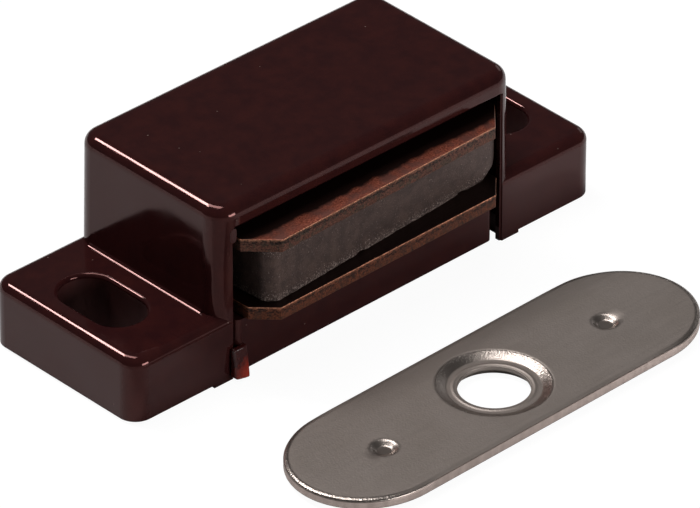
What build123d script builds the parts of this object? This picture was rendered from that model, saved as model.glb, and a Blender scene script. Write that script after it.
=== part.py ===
from build123d import *
import math
import os

# Magnetic cabinet catch: moulded housing with two slotted lugs, a base insert that
# closes it from below, a floating magnet pack and a separate strike plate.
# X runs along the catch, Y towards its back, Z up from the surface it stands on.

os.makedirs("parts", exist_ok=True)

# ---- housing ----
LENGTH = 46.0            # over the two lugs
DEPTH = 15.5
HEIGHT = 14.6
LUG_BOTTOM = 0.25        # lugs hang clear of the surface, the wall feet touch it
LUG_TOP = 5.6
LUG_CORNER_R = 1.5
LUG_EDGE_R = 0.85
BOX_LENGTH = 30.0        # at the lug level
BOX_TOP_LENGTH = 29.3    # draft of the two end walls
BOX_CORNER_R = 1.7
BOX_EDGE_R = 1.0
SLOT_SPACING = 38.0
SLOT_WIDTH = 4.4
SLOT_LENGTH = 7.6
SLOT_RIM_R = 0.3
WEB_R = 0.3              # small radius where the box rises from the lugs
OPENING_LEFT = -13.22    # clear width between the front lips
OPENING_RIGHT = 13.35
OPENING_EDGE_R = 0.15
LIP_DEPTH = 0.55
CAVITY_HALF = 13.85
CEILING = 12.85
REAR_WALL = 1.7
FOOT_HALF_OUT = 15.2

# ---- base insert ----
INSERT_LEFT = -13.1
INSERT_RIGHT = 12.65
INSERT_BOTTOM = 0.45
INSERT_TOP = 4.87
INSERT_REAR = 5.8
INSERT_WALL = 1.3
INSERT_RIB = 2.4
PAD_LENGTH = 9.0
INSERT_YAW = 0.5

# ---- magnet pack ----
PLATE_T = 1.1
PLATE_X = 0.22           # middle of the pole edge
POLE_Y = -9.75           # pole edges stand proud of the front face
PLATE_DEPTH = 14.5
PLATE_HALF = 12.94       # upper plate
UPPER_CORNER_X = 2.12
UPPER_CORNER_Y = 2.18
LOWER_CORNER_X = 1.71
LOWER_CORNER_Y = 1.71
NOTCH_START = 8.0
NOTCH_LENGTH = 4.3
NOTCH_DEPTH = 1.35
LOWER_YAW = 0.8
UPPER_YAW = 1.5
MAGNET_LENGTH = 24.9
MAGNET_DEPTH = 11.5
MAGNET_HEIGHT = 4.78
MAGNET_CORNER_R = 1.2
MAGNET_EDGE = 0.25
MAGNET_FRONT = (1.2, -8.42)
MAGNET_YAW = 4.2
RETAINER_START = -0.5    # retaining ribs stand in the plate notches
RETAINER_END = 1.95
RETAINER_INNER = 11.85
RETAINER_Y = (RETAINER_START + RETAINER_END) / 2
RETAINER_SPAN = RETAINER_END - RETAINER_START

# ---- strike plate ----
STRIKE_LENGTH = 37.8
STRIKE_WIDTH = 11.3
STRIKE_T = 0.6
STRIKE_LIFT = 0.7        # sheet stands on its dish and its two barbs
STRIKE_CENTRE = (-1.42, -22.43)
STRIKE_YAW = 1.3
DISH_R = 4.5
DISH_FLOOR_R = 3.15
HOLE_R = 2.75
BARB_SPACING = 22.9
BARB_R = 1.0

FRONT = -DEPTH / 2
REAR = DEPTH / 2
CAVITY_REAR = REAR - REAR_WALL
LOWER_TOP = INSERT_TOP + PLATE_T
MAGNET_TOP = LOWER_TOP + MAGNET_HEIGHT
UPPER_TOP = MAGNET_TOP + PLATE_T


def turned(x, y, z, yaw):
    """Plane at a point, square to Z and turned by yaw degrees about it."""
    a = math.radians(yaw)
    return Plane(origin=(x, y, z), x_dir=(math.cos(a), math.sin(a), 0), z_dir=(0, 0, 1))


# ---------------------------------------------------------------- housing
with BuildPart() as housing:
    # lug slab, full length, with its rolled top edge
    with BuildSketch(Plane.XY.offset(LUG_BOTTOM)):
        RectangleRounded(LENGTH, DEPTH, LUG_CORNER_R)
    extrude(amount=LUG_TOP - LUG_BOTTOM)
    fillet(housing.faces().sort_by(Axis.Z)[-1].edges(), radius=LUG_EDGE_R)
    # box with drafted ends
    with BuildSketch(Plane.XY.offset(LUG_BOTTOM)):
        RectangleRounded(BOX_LENGTH, DEPTH, BOX_CORNER_R)
    with BuildSketch(Plane.XY.offset(HEIGHT)):
        RectangleRounded(BOX_TOP_LENGTH, DEPTH, BOX_CORNER_R)
    loft()
    fillet(housing.faces().sort_by(Axis.Z)[-1].edges(), radius=BOX_EDGE_R)
    # feet of the side walls
    with BuildSketch(Plane.XY):
        for side, inner in ((-1, -OPENING_LEFT), (1, OPENING_RIGHT)):
            with Locations((side * (inner + FOOT_HALF_OUT) / 2, 0)):
                Rectangle(FOOT_HALF_OUT - inner, DEPTH)
    extrude(amount=LUG_BOTTOM)
    # cavity, open at the bottom, with a front lip each side
    with BuildSketch(Plane.XY.offset(-1)):
        with Locations((0, (FRONT + LIP_DEPTH + CAVITY_REAR) / 2)):
            Rectangle(2 * CAVITY_HALF, CAVITY_REAR - FRONT - LIP_DEPTH)
    extrude(amount=CEILING + 1, mode=Mode.SUBTRACT)
    with BuildSketch(Plane.XY.offset(-1)):
        with Locations(((OPENING_LEFT + OPENING_RIGHT) / 2, FRONT)):
            Rectangle(OPENING_RIGHT - OPENING_LEFT, 2 * LIP_DEPTH + 0.4)
        # each lip's front edge is eased
        for side, lip_x in ((-1, OPENING_LEFT), (1, OPENING_RIGHT)):
            eased_x = lip_x + side * OPENING_EDGE_R
            with BuildLine():
                RadiusArc((lip_x, FRONT + OPENING_EDGE_R), (eased_x, FRONT), side * OPENING_EDGE_R)
                Polyline(
                    (eased_x, FRONT),
                    (eased_x, FRONT - 0.5),
                    (lip_x - side * 0.5, FRONT - 0.5),
                    (lip_x - side * 0.5, FRONT + OPENING_EDGE_R),
                    (lip_x, FRONT + OPENING_EDGE_R),
                )
            make_face()
    extrude(amount=CEILING + 1, mode=Mode.SUBTRACT)
    with BuildSketch(Plane.YZ.offset(OPENING_LEFT)):
        with BuildLine():
            RadiusArc((FRONT, CEILING + OPENING_EDGE_R), (FRONT + OPENING_EDGE_R, CEILING), -OPENING_EDGE_R)
            Polyline(
                (FRONT + OPENING_EDGE_R, CEILING),
                (FRONT + OPENING_EDGE_R, CEILING - 0.3),
                (FRONT - 0.3, CEILING - 0.3),
                (FRONT - 0.3, CEILING + OPENING_EDGE_R),
                (FRONT, CEILING + OPENING_EDGE_R),
            )
        make_face()
    extrude(amount=OPENING_RIGHT - OPENING_LEFT, mode=Mode.SUBTRACT)
    # small radius where the box rises from the lugs
    draft = (BOX_LENGTH - BOX_TOP_LENGTH) / 2 / (HEIGHT - LUG_BOTTOM)
    wall_x = BOX_LENGTH / 2 - draft * (LUG_TOP - LUG_BOTTOM)
    with BuildSketch(Plane.XZ.offset(-(REAR - BOX_CORNER_R))):
        for side in (-1, 1):
            with BuildLine():
                Line((side * (wall_x + WEB_R), LUG_TOP), (side * (wall_x - 0.3), LUG_TOP))
                Line((side * (wall_x - 0.3), LUG_TOP), (side * (wall_x - 0.3), LUG_TOP + WEB_R))
                Line((side * (wall_x - 0.3), LUG_TOP + WEB_R), (side * wall_x, LUG_TOP + WEB_R))
                RadiusArc(
                    (side * wall_x, LUG_TOP + WEB_R),
                    (side * (wall_x + WEB_R), LUG_TOP),
                    -side * WEB_R,
                )
            make_face()
    extrude(amount=2 * (REAR - BOX_CORNER_R))
    # retaining ribs that reach down into the notches of the upper plate
    with BuildSketch(Plane.XY.offset(MAGNET_TOP + 0.12)):
        for side in (-1, 1):
            with Locations((side * (RETAINER_INNER + CAVITY_HALF) / 2, RETAINER_Y)):
                Rectangle(CAVITY_HALF - RETAINER_INNER, RETAINER_SPAN)
    extrude(until=Until.NEXT)
    # runners under the roof that keep the pack down
    with BuildSketch(Plane.XY.offset(UPPER_TOP + 0.12)):
        with Locations((-6.5, 0.2), (6.5, 0.2)):
            Rectangle(1.2, 9.6)
    extrude(until=Until.NEXT)
    # snap nibs of the rear wall, under the insert
    with BuildSketch(Plane.XY.offset(0.05)):
        with Locations((-6.5, CAVITY_REAR - 0.25), (6.5, CAVITY_REAR - 0.25)):
            Rectangle(3.0, 0.5)
    extrude(amount=0.35)
    # moulding nub at the upper left of the opening
    with BuildSketch(Plane.XZ.offset(-FRONT - 0.05)):
        with Locations((OPENING_LEFT - 0.01, CEILING - 0.65)):
            SlotOverall(1.2, 0.62, rotation=90)
    extrude(amount=-0.45)
    # mounting slots, long across the catch
    with BuildSketch(Plane.XY.offset(LUG_TOP)):
        with Locations((-SLOT_SPACING / 2, 0), (SLOT_SPACING / 2, 0)):
            SlotOverall(SLOT_LENGTH, SLOT_WIDTH, rotation=90)
    extrude(amount=-LUG_TOP - 1, mode=Mode.SUBTRACT)
    slot_reach = SLOT_WIDTH / 2 + 0.1
    rims = housing.edges().filter_by_position(Axis.Z, LUG_TOP - 0.01, LUG_TOP + 0.01)
    rims = rims.filter_by(lambda e: abs(abs(e.center().X) - SLOT_SPACING / 2) < slot_reach)
    rims = rims.filter_by(lambda e: abs(e.center().Y) < SLOT_LENGTH / 2)
    fillet(rims, radius=SLOT_RIM_R)
housing.part.label = "housing"
export_step(housing.part, "parts/housing.step")

# ---------------------------------------------------------------- base insert
INSERT_X = (INSERT_LEFT + INSERT_RIGHT) / 2
INSERT_SPAN = INSERT_RIGHT - INSERT_LEFT
INSERT_DEPTH = INSERT_REAR - FRONT
POCKET_SPAN = (INSERT_SPAN - 2 * INSERT_WALL - INSERT_RIB) / 2
with BuildPart() as base_insert:
    with BuildSketch(turned(INSERT_X, FRONT, INSERT_BOTTOM, INSERT_YAW)):
        with Locations((0, INSERT_DEPTH / 2)):
            RectangleRounded(INSERT_SPAN, INSERT_DEPTH, 0.5)
    extrude(amount=INSERT_TOP - INSERT_BOTTOM)
    # hollow underneath, either side of a middle rib
    with BuildSketch(turned(INSERT_X, FRONT, INSERT_BOTTOM, INSERT_YAW)):
        for side in (-1, 1):
            with Locations((side * (POCKET_SPAN + INSERT_RIB) / 2, INSERT_DEPTH / 2)):
                RectangleRounded(POCKET_SPAN, INSERT_DEPTH - 2 * INSERT_WALL, 0.4)
    extrude(amount=INSERT_TOP - INSERT_BOTTOM - INSERT_WALL, mode=Mode.SUBTRACT)
    # the rib carries a pad that stands on the mounting surface, level with the wall feet
    with BuildSketch(Plane.XY):
        SlotOverall(PAD_LENGTH, INSERT_RIB, rotation=90)
    extrude(amount=INSERT_BOTTOM + 0.2)
    # pegs that stand in the notches of the lower plate
    with BuildSketch(Plane.XY.offset(INSERT_TOP - 0.2)):
        for side in (-1, 1):
            with Locations((side * (RETAINER_INNER + 0.3), RETAINER_Y)):
                Rectangle(0.6, RETAINER_SPAN)
    extrude(amount=PLATE_T + 0.1)
    # stub of moulding flash at the left of the front face
    with BuildSketch(Plane.XZ.offset(-FRONT - 0.25)):
        with Locations((-12.66, 1.4)):
            RectangleRounded(1.0, 2.4, 0.4)
    extrude(amount=0.6)
base_insert.part.label = "base_insert"
export_step(base_insert.part, "parts/base_insert.step")

# ---------------------------------------------------------------- pole plates
with BuildPart() as lower_pole_plate:
    with BuildSketch(turned(PLATE_X, POLE_Y, INSERT_TOP, LOWER_YAW)):
        with BuildLine():
            side_x = PLATE_HALF - (UPPER_CORNER_X - LOWER_CORNER_X)
            front_x = PLATE_HALF - UPPER_CORNER_X
            Polyline(
                (0, 0),
                (front_x, 0),
                (side_x, LOWER_CORNER_Y),
                (side_x, NOTCH_START),
                (PLATE_HALF - NOTCH_DEPTH, NOTCH_START),
                (PLATE_HALF - NOTCH_DEPTH, NOTCH_START + NOTCH_LENGTH),
                (side_x, NOTCH_START + NOTCH_LENGTH),
                (side_x, PLATE_DEPTH),
                (0, PLATE_DEPTH),
                close=True,
            )
        make_face()
        mirror(about=Plane.YZ)
    extrude(amount=PLATE_T)
lower_pole_plate.part.label = "lower_pole_plate"
export_step(lower_pole_plate.part, "parts/lower_pole_plate.step")

with BuildPart() as upper_pole_plate:
    with BuildSketch(turned(PLATE_X, POLE_Y, MAGNET_TOP, UPPER_YAW)):
        with BuildLine():
            Polyline(
                (0, 0),
                (PLATE_HALF - UPPER_CORNER_X, 0),
                (PLATE_HALF, UPPER_CORNER_Y),
                (PLATE_HALF, NOTCH_START),
                (PLATE_HALF - NOTCH_DEPTH, NOTCH_START),
                (PLATE_HALF - NOTCH_DEPTH, NOTCH_START + NOTCH_LENGTH),
                (PLATE_HALF, NOTCH_START + NOTCH_LENGTH),
                (PLATE_HALF, PLATE_DEPTH),
                (0, PLATE_DEPTH),
                close=True,
            )
        make_face()
        mirror(about=Plane.YZ)
    extrude(amount=PLATE_T)
upper_pole_plate.part.label = "upper_pole_plate"
export_step(upper_pole_plate.part, "parts/upper_pole_plate.step")

# ---------------------------------------------------------------- magnet
with BuildPart() as magnet:
    with BuildSketch(turned(MAGNET_FRONT[0], MAGNET_FRONT[1], LOWER_TOP, MAGNET_YAW)):
        with Locations((0, MAGNET_DEPTH / 2)):
            RectangleRounded(MAGNET_LENGTH, MAGNET_DEPTH, MAGNET_CORNER_R)
    extrude(amount=MAGNET_HEIGHT)
    chamfer(magnet.faces().filter_by(Axis.Z).edges(), length=MAGNET_EDGE)
magnet.part.label = "magnet"
export_step(magnet.part, "parts/magnet.step")

# ---------------------------------------------------------------- strike plate
with BuildPart() as strike_plate:
    STRIKE_TOP = STRIKE_LIFT + STRIKE_T
    with BuildSketch(turned(STRIKE_CENTRE[0], STRIKE_CENTRE[1], STRIKE_LIFT, STRIKE_YAW)):
        SlotOverall(STRIKE_LENGTH, STRIKE_WIDTH)
    extrude(amount=STRIKE_T)
    # pressed dish round the screw hole
    with BuildSketch(turned(STRIKE_CENTRE[0], STRIKE_CENTRE[1], 0, STRIKE_YAW)):
        Circle(DISH_FLOOR_R + 0.2)
    with BuildSketch(turned(STRIKE_CENTRE[0], STRIKE_CENTRE[1], STRIKE_LIFT + 0.1, STRIKE_YAW)):
        Circle(DISH_R + 0.1)
    loft()
    with BuildSketch(turned(STRIKE_CENTRE[0], STRIKE_CENTRE[1], STRIKE_TOP - STRIKE_LIFT, STRIKE_YAW)):
        Circle(DISH_FLOOR_R)
    with BuildSketch(turned(STRIKE_CENTRE[0], STRIKE_CENTRE[1], STRIKE_TOP, STRIKE_YAW)):
        Circle(DISH_R)
    loft(mode=Mode.SUBTRACT)
    with BuildSketch(turned(STRIKE_CENTRE[0], STRIKE_CENTRE[1], -1, STRIKE_YAW)):
        Circle(HOLE_R)
    extrude(amount=STRIKE_TOP + 2, mode=Mode.SUBTRACT)
    # two punched locating barbs: a cone below, its prick mark above
    with BuildSketch(turned(STRIKE_CENTRE[0], STRIKE_CENTRE[1], 0, STRIKE_YAW)):
        with Locations((-BARB_SPACING / 2, 0), (BARB_SPACING / 2, 0)):
            Circle(0.35)
    extrude(amount=STRIKE_LIFT + 0.1, taper=-42)
    with BuildSketch(turned(STRIKE_CENTRE[0], STRIKE_CENTRE[1], STRIKE_TOP, STRIKE_YAW)):
        with Locations((-BARB_SPACING / 2, 0), (BARB_SPACING / 2, 0)):
            Circle(BARB_R)
    extrude(amount=-0.55, taper=40, mode=Mode.SUBTRACT)
strike_plate.part.label = "strike_plate"
export_step(strike_plate.part, "parts/strike_plate.step")
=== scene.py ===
"""Magnetic cabinet catch with its strike plate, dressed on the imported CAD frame.

Units are metres, and a length given in millimetres is turned with MM. X runs along the catch, Y
towards its back and Z up from the surface that it stands on.
"""

from __future__ import annotations

import logging
import math
from dataclasses import dataclass
from enum import Enum
from typing import Any

import bmesh
import bpy
from mathutils import Matrix, Vector

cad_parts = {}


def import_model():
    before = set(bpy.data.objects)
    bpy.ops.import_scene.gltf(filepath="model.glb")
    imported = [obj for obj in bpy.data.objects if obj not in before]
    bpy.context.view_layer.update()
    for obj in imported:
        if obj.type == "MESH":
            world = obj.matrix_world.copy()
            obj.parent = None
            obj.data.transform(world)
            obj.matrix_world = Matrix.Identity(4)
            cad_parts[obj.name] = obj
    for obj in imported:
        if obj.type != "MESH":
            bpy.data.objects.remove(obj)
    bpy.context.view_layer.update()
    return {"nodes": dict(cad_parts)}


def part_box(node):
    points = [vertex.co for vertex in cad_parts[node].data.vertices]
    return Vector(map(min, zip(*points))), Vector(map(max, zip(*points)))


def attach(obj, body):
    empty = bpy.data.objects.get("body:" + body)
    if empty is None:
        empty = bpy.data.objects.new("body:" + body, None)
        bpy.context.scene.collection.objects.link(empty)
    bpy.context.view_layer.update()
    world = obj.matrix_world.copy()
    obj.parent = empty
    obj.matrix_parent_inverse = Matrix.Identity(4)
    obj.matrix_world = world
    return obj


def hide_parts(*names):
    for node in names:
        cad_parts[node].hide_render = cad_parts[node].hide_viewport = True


LOG = logging.getLogger("magnetic_catch")
MM = 0.001

ATTRIBUTE = "ShaderNodeAttribute"
BUMP = "ShaderNodeBump"
DIFFUSE = "ShaderNodeBsdfDiffuse"
JOIN = "ShaderNodeCombineXYZ"
MAPPING = "ShaderNodeMapping"
MATH = "ShaderNodeMath"
MIX = "ShaderNodeMix"
MIX_SHADER = "ShaderNodeMixShader"
NOISE = "ShaderNodeTexNoise"
POSITION = "GeometryNodeInputPosition"
PRINCIPLED = "ShaderNodeBsdfPrincipled"
RANGE = "ShaderNodeMapRange"
SET_MATERIAL = "GeometryNodeSetMaterial"
SPLIT = "ShaderNodeSeparateXYZ"
STORE = "GeometryNodeStoreNamedAttribute"
VECTOR = "ShaderNodeVectorMath"

Colour = tuple[float, float, float, float]
Nodes = dict[str, bpy.types.Object]
Socket = bpy.types.NodeSocket
Sockets = dict[Any, Any] | tuple[Any, ...]
Strain = tuple[float, float, float]
Value = Socket | float


class Slot(Enum):
    """The material slots, by name."""

    PLASTIC = "housing_plastic"
    POLE = "pole_steel"
    FERRITE = "ferrite"
    STRIKE = "strike_steel"


class Body(Enum):
    """The CAD bodies that a piece can ride on."""

    CATCH = "catch_body"
    PACK = "magnet_pack"


# ------------------------------------------------------------------ node helpers
def linear(code: str) -> Colour:
    """Turn an sRGB hex colour into linear light.

    Args:
        code: six hex digits after a hash.

    Returns:
        Linear red, green, blue and an alpha of 1.
    """
    levels = [int(code[i:i + 2], 16) / 255 for i in (1, 3, 5)]
    red, green, blue = [v / 12.92 if v <= 0.04045 else ((v + 0.055) / 1.055) ** 2.4 for v in levels]
    return (red, green, blue, 1.0)


def per_mm(size: float) -> float:
    """Scale of a texture whose features are that many millimetres."""
    return 1.0 / (size * MM)


def add_node(tree: bpy.types.NodeTree, kind: str, sockets: Sockets = (),
             **settings: Any) -> bpy.types.Node:
    """Add a node with its settings, and fill or link its inputs.

    Args:
        tree: the tree that gets the node.
        kind: the node's type name.
        sockets: input name or index to a value or to an output to link from, or the inputs in
            order.
        **settings: properties of the node itself.

    Returns:
        The new node.
    """
    node = tree.nodes.new(kind)
    for name, value in settings.items():
        setattr(node, name, value)
    pairs = sockets.items() if isinstance(sockets, dict) else enumerate(sockets)
    for key, value in pairs:
        if isinstance(value, Socket):
            tree.links.new(value, node.inputs[key])
        else:
            node.inputs[key].default_value = value
    return node


class Builder:
    """A node tree that is built output by output."""

    def __init__(self, tree: bpy.types.NodeTree) -> None:
        """Take the tree that gets the nodes."""
        self.tree = tree

    def outputs(self, kind: str, sockets: Sockets = (), **settings: Any) -> Any:
        """Add a node as add_node does, and give all its outputs."""
        return add_node(self.tree, kind, sockets, **settings).outputs

    def add(self, kind: str, sockets: Sockets = (), **settings: Any) -> Any:
        """Add a node as add_node does, and give the first output that it uses."""
        return next(out for out in self.outputs(kind, sockets, **settings) if out.enabled)


class Surface(Builder):
    """A material's tree, with the piece's Object coordinates at hand as place."""

    def __init__(self, name: str) -> None:
        """Start the material.

        Args:
            name: the finish's common name.
        """
        self.material = bpy.data.materials.new(name)
        self.material.use_nodes = True
        super().__init__(self.material.node_tree)
        self.tree.nodes.clear()
        self.place = self.outputs("ShaderNodeTexCoord")["Object"]

    def end(self, shader: Socket) -> bpy.types.Material:
        """Show a shader on the surface.

        Args:
            shader: the shader's output.

        Returns:
            The material.
        """
        add_node(self.tree, "ShaderNodeOutputMaterial", (shader,))
        return self.material


class GeometryTree(Builder):
    """A Geometry Nodes tree with named inputs, run once to give a plain mesh."""

    def __init__(self, name: str, inputs: dict[str, Any]) -> None:
        """Start the tree.

        Args:
            name: the tree's name.
            inputs: input name to its value: a size, a count or a material.
        """
        super().__init__(bpy.data.node_groups.new(name, "GeometryNodeTree"))
        self.values = inputs
        interface = self.tree.interface
        kinds = {float: "NodeSocketFloat", int: "NodeSocketInt"}
        for label, value in inputs.items():
            kind = kinds.get(type(value), "NodeSocketMaterial")
            interface.new_socket(label, in_out="INPUT", socket_type=kind)
        interface.new_socket("Geometry", in_out="OUTPUT", socket_type="NodeSocketGeometry")
        self.entry = self.outputs("NodeGroupInput")

    def place(self, geometry: Socket, middle: Vector, yaw_deg: float) -> Socket:
        """Turn the finished shape, move it to its place and make it smooth and real.

        Args:
            geometry: the shape round the origin.
            middle: where its middle goes.
            yaw_deg: how far it is turned, in degrees.

        Returns:
            The shape in its place.
        """
        placed = self.add("GeometryNodeTransform", {
            "Geometry": geometry, "Translation": middle,
            "Rotation": (0.0, 0.0, math.radians(yaw_deg))})
        real = self.add("GeometryNodeRealizeInstances", (placed,))
        return self.add("GeometryNodeSetShadeSmooth", (real,))

    def run(self, geometry: Socket) -> bpy.types.Mesh:
        """End the tree, set its inputs and turn its result into a mesh.

        Args:
            geometry: the geometry that the tree gives, with its materials set.

        Returns:
            The finished mesh.
        """
        add_node(self.tree, "NodeGroupOutput", (geometry,))
        holder = holder_for(bpy.data.meshes.new(self.tree.name), self.tree.name)
        modifier = holder.modifiers.new(self.tree.name, "NODES")
        modifier.node_group = self.tree
        for item in self.tree.interface.items_tree:
            if item.in_out == "INPUT":
                modifier[item.identifier] = self.values[item.name]
        return evaluated_mesh(holder)


# ------------------------------------------------------------------ mesh helpers
def evaluated_mesh(holder: bpy.types.Object) -> bpy.types.Mesh:
    """Turn an object and its modifiers into a plain mesh, and remove the object.

    Args:
        holder: the object that carries the modifiers.

    Returns:
        The finished mesh.
    """
    bpy.context.view_layer.update()
    graph = bpy.context.evaluated_depsgraph_get()
    mesh = bpy.data.meshes.new_from_object(holder.evaluated_get(graph), depsgraph=graph)
    bpy.data.objects.remove(holder)
    return mesh


def holder_for(data: bpy.types.ID, name: str) -> bpy.types.Object:
    """Link an object for a mesh, lamp or camera, at the origin.

    Args:
        data: what it carries.
        name: the object's name.

    Returns:
        The object.
    """
    holder = bpy.data.objects.new(name, data)
    bpy.context.scene.collection.objects.link(holder)
    return holder


def merged_copy(node: bpy.types.Object) -> bpy.types.Mesh:
    """Copy a CAD node's loose triangles as one closed mesh of whole faces.

    Args:
        node: the CAD node, which is left as it is.

    Returns:
        The merged mesh.
    """
    shell = bmesh.new()
    shell.from_mesh(node.data)
    bmesh.ops.remove_doubles(shell, verts=shell.verts, dist=1e-7)
    bmesh.ops.dissolve_limit(shell, angle_limit=math.radians(1), verts=shell.verts,
                             edges=shell.edges)
    mesh = bpy.data.meshes.new(node.name + "_merged")
    shell.to_mesh(mesh)
    shell.free()
    return mesh


def add_piece(name: str, mesh: bpy.types.Mesh, body: Body, slot: Slot,
              *replaced: str) -> bpy.types.Object:
    """Make a finished piece, and say what it rides on and stands for.

    Args:
        name: the piece's name.
        mesh: its finished mesh, with its materials.
        body: the CAD body that it moves with.
        slot: not used.
        *replaced: the CAD nodes that it stands for.

    Returns:
        The piece.
    """
    mesh.name = name
    piece = holder_for(mesh, name)
    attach(piece, body.value)
    if replaced:
        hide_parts(*replaced)
    return piece


# ------------------------------------------------------------------ finishes
@dataclass(frozen=True)
class MouldedPolystyrene:
    """Injection-moulded polystyrene, brown, from a polished mould.

    It gives the eye a dark red-brown body under a wet gloss: crisp light lines along the rounded
    edges, a faint waviness in the reflections and a few specks of dust.
    """

    name: str = "moulded_polystyrene"
    body: str = "#2b1213"
    body_warm: str = "#341615"
    sheen_tint: str = "#ffb8b2"
    ior: float = 1.5
    roughness: tuple[float, float] = (0.07, 0.125)
    patch_mm: float = 2.4
    flow_mm: float = 1.6
    peel_mm: float = 1.1
    peel_height_mm: float = 0.0011
    sink_mm: float = 4.5
    sink_height_mm: float = 0.05
    dust: str = "#8d7a72"
    dust_cell_mm: float = 1.5
    dust_edge: tuple[float, float] = (0.042, 0.018)
    dust_cover: float = 0.7
    dust_missing: float = 0.3
    dust_roughness: float = 0.4
    cored_mm: tuple[tuple[float, float], ...] = ((19.0, 2.32), (0.0, 3.92), (2.62, 2.62))
    cored_roughness: float = 0.5

    def build(self) -> bpy.types.Material:
        """Build the finish.

        Returns:
            The material.
        """
        surface = Surface(self.name)
        # flow clouding of the melt
        flow = surface.add(NOISE, {"Vector": surface.place, "Scale": per_mm(self.flow_mm),
                                   "Detail": 5.0, "Roughness": 0.65})
        cloudy = surface.add(RANGE, (flow, 0.36, 0.64, 0.0, 1.0))
        tint = surface.add(MIX, {0: cloudy, 6: linear(self.body), 7: linear(self.body_warm)},
                           data_type="RGBA")
        # dust: one speck in most of the cells
        cells = surface.outputs("ShaderNodeTexVoronoi", {"Vector": surface.place,
                                                         "Scale": per_mm(self.dust_cell_mm)})
        near = surface.add(RANGE, (cells["Distance"], *self.dust_edge, 0.0, self.dust_cover))
        pick = surface.add("ShaderNodeSeparateColor", (cells["Color"],))
        kept = surface.add(MATH, (pick, self.dust_missing), operation="GREATER_THAN")
        speck = surface.add(MATH, (near, kept), operation="MULTIPLY")
        base = surface.add(MIX, {0: speck, 6: tint, 7: linear(self.dust)}, data_type="RGBA")
        # gloss: polished, a little duller in patches and on the dust
        patch = surface.add(NOISE, {"Vector": surface.place, "Scale": per_mm(self.patch_mm),
                                    "Detail": 3.0})
        gloss = surface.add(RANGE, (patch, 0.3, 0.7, *self.roughness))
        dusty = surface.add(MATH, (speck, self.dust_roughness, gloss), operation="MULTIPLY_ADD")
        # the pins that cored the slots were left as machined
        cored = self._cored(surface)
        rough = surface.add(MATH, (cored, self.cored_roughness, dusty), operation="MULTIPLY_ADD")
        # the mould's fine peel, on the long shallow waves in which the melt shrank
        peel = surface.add(NOISE, {"Vector": surface.place, "Scale": per_mm(self.peel_mm),
                                   "Detail": 2.0})
        sink = surface.add(NOISE, {"Vector": surface.place, "Scale": per_mm(self.sink_mm),
                                   "Detail": 0.0})
        relief = surface.add(MATH, (sink, self.sink_height_mm / self.peel_height_mm, peel),
                             operation="MULTIPLY_ADD")
        bump = surface.add(BUMP, {"Height": relief, "Distance": self.peel_height_mm * MM})
        return surface.end(surface.add(PRINCIPLED, {
            "Base Color": base, "Roughness": rough, "Normal": bump, "IOR": self.ior,
            "Specular Tint": linear(self.sheen_tint)}))

    def _cored(self, surface: Surface) -> Value:
        """Find the inside of the two slots.

        Args:
            surface: the finish's tree.

        Returns:
            1 within the reach of each middle that cored_mm gives along X, Y and Z, and else 0.
        """
        spot = surface.outputs(SPLIT, (surface.place,))
        far = surface.add(MATH, (spot["X"],), operation="ABSOLUTE")
        inside: Value = 1.0
        for size, (middle, reach) in zip((far, spot["Y"], spot["Z"]), self.cored_mm):
            within = surface.add(MATH, (size, middle * MM, reach * MM), operation="COMPARE")
            inside = surface.add(MATH, (inside, within), operation="MULTIPLY")
        return inside


@dataclass(frozen=True)
class GateFlash:
    """The same polystyrene where it ran past the mould, as a lump of flash.

    It gives the eye a lump with a painted glow, orange-red towards its foot and its right, that
    stands in for light coming through the plastic, and drawn threads down its side. It reads how
    much painted glow to give from the attribute "glow_mask".
    """

    name: str = "polystyrene_flash"
    thick: str = "#38100f"
    # painted glow: orange-red that stands in for light coming through the flash
    painted_glow: str = "#b03420"
    ior: float = 1.55
    roughness: float = 0.2
    cloud_mm: float = 0.3
    painted_glow_span: tuple[float, float] = (0.3, 1.1)
    thread_mm: float = 0.2
    thread_stretch: float = 0.12
    thread_height_mm: float = 0.06

    def build(self) -> bpy.types.Material:
        """Build the finish.

        Returns:
            The material.
        """
        surface = Surface(self.name)
        glow_mask = surface.outputs(ATTRIBUTE, attribute_name="glow_mask")["Fac"]
        cloud = surface.add(NOISE, {"Vector": surface.place, "Scale": per_mm(self.cloud_mm),
                                    "Detail": 3.0})
        # painted glow: the orange-red is mixed in where the mask is high
        amount = surface.add(MATH, (cloud, 0.5, glow_mask), operation="MULTIPLY_ADD")
        glow = surface.add(RANGE, (amount, *self.painted_glow_span, 0.0, 1.0))
        base = surface.add(MIX, {0: glow, 6: linear(self.thick), 7: linear(self.painted_glow)},
                           data_type="RGBA")
        drawn = surface.add(MAPPING, {"Vector": surface.place,
                                      "Scale": (1.0, 1.0, self.thread_stretch)})
        threads = surface.add(NOISE, {"Vector": drawn, "Scale": per_mm(self.thread_mm),
                                      "Detail": 2.0})
        bump = surface.add(BUMP, {"Height": threads, "Distance": self.thread_height_mm * MM})
        return surface.end(surface.add(PRINCIPLED, {
            "Base Color": base, "Roughness": self.roughness, "Normal": bump, "IOR": self.ior}))


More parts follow.
